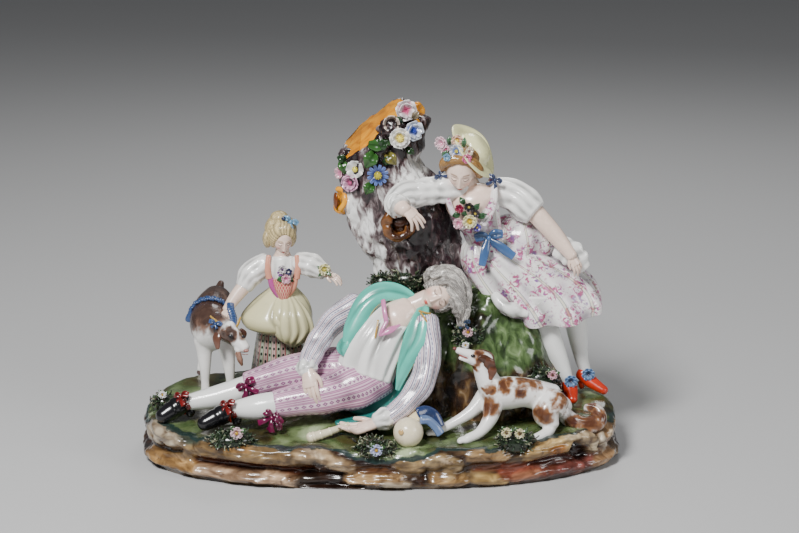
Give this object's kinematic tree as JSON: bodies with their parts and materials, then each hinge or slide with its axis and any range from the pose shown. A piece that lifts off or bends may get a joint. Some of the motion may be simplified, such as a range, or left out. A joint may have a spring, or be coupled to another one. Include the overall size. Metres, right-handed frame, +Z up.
{
  "type": "porcelain figure group",
  "caption": "Glazed porcelain group on an oval rockwork base: a shepherd sleeps against a mossy rock, a shepherdess leans over him from a flowered tree stump, with a girl, a goat and a dog.",
  "frame": {"origin": "middle of the flat underside of the oval base", "axes": "+Z up out of the base, -Y the front from which the group is looked at, +X to that viewer's right, along the base's length"},
  "size_m": [0.325, 0.164, 0.2374],
  "materials": {
    "glazed_porcelain": "white porcelain, painted in colours with gold lines, under a clear gloss glaze"
  },
  "bodies": {
    "root": {"porcelain_figure_group": "glazed_porcelain"}
  },
  "joints": []
}
